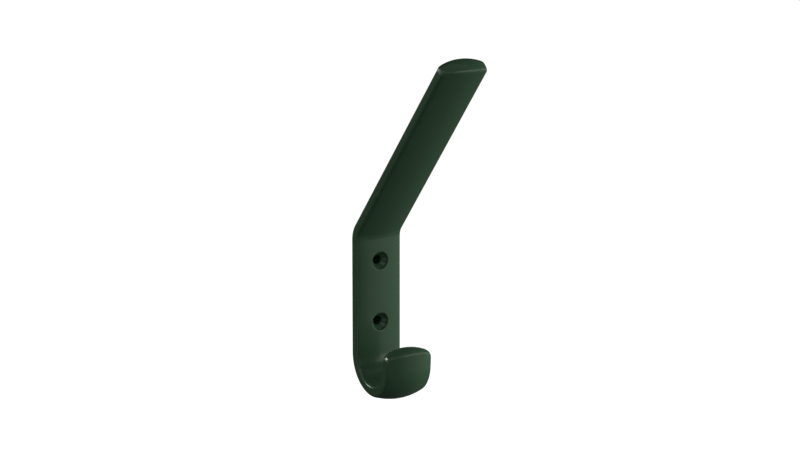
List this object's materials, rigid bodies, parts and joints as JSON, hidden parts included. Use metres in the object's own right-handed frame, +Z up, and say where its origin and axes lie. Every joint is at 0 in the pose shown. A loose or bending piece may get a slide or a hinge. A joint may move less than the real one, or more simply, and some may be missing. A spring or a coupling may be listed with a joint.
{
  "type": "coat hook",
  "caption": "One-piece wall hook: a wide bar with a long hat arm leaning out above, a flat-backed wall plate with countersunk screw holes and an upturned coat hook below.",
  "frame": {"origin": "on the flat wall face, midway between the two screw holes", "axes": "+X to the right as seen by someone facing the wall, +Y into the wall, +Z up; the arm and the hook reach out along -Y"},
  "size_m": [0.0262, 0.0916, 0.1841],
  "materials": {
    "green_plastic": "smooth, glossy, dark green, coloured right through"
  },
  "bodies": {
    "root": {"coat_hook": "green_plastic"}
  },
  "joints": []
}
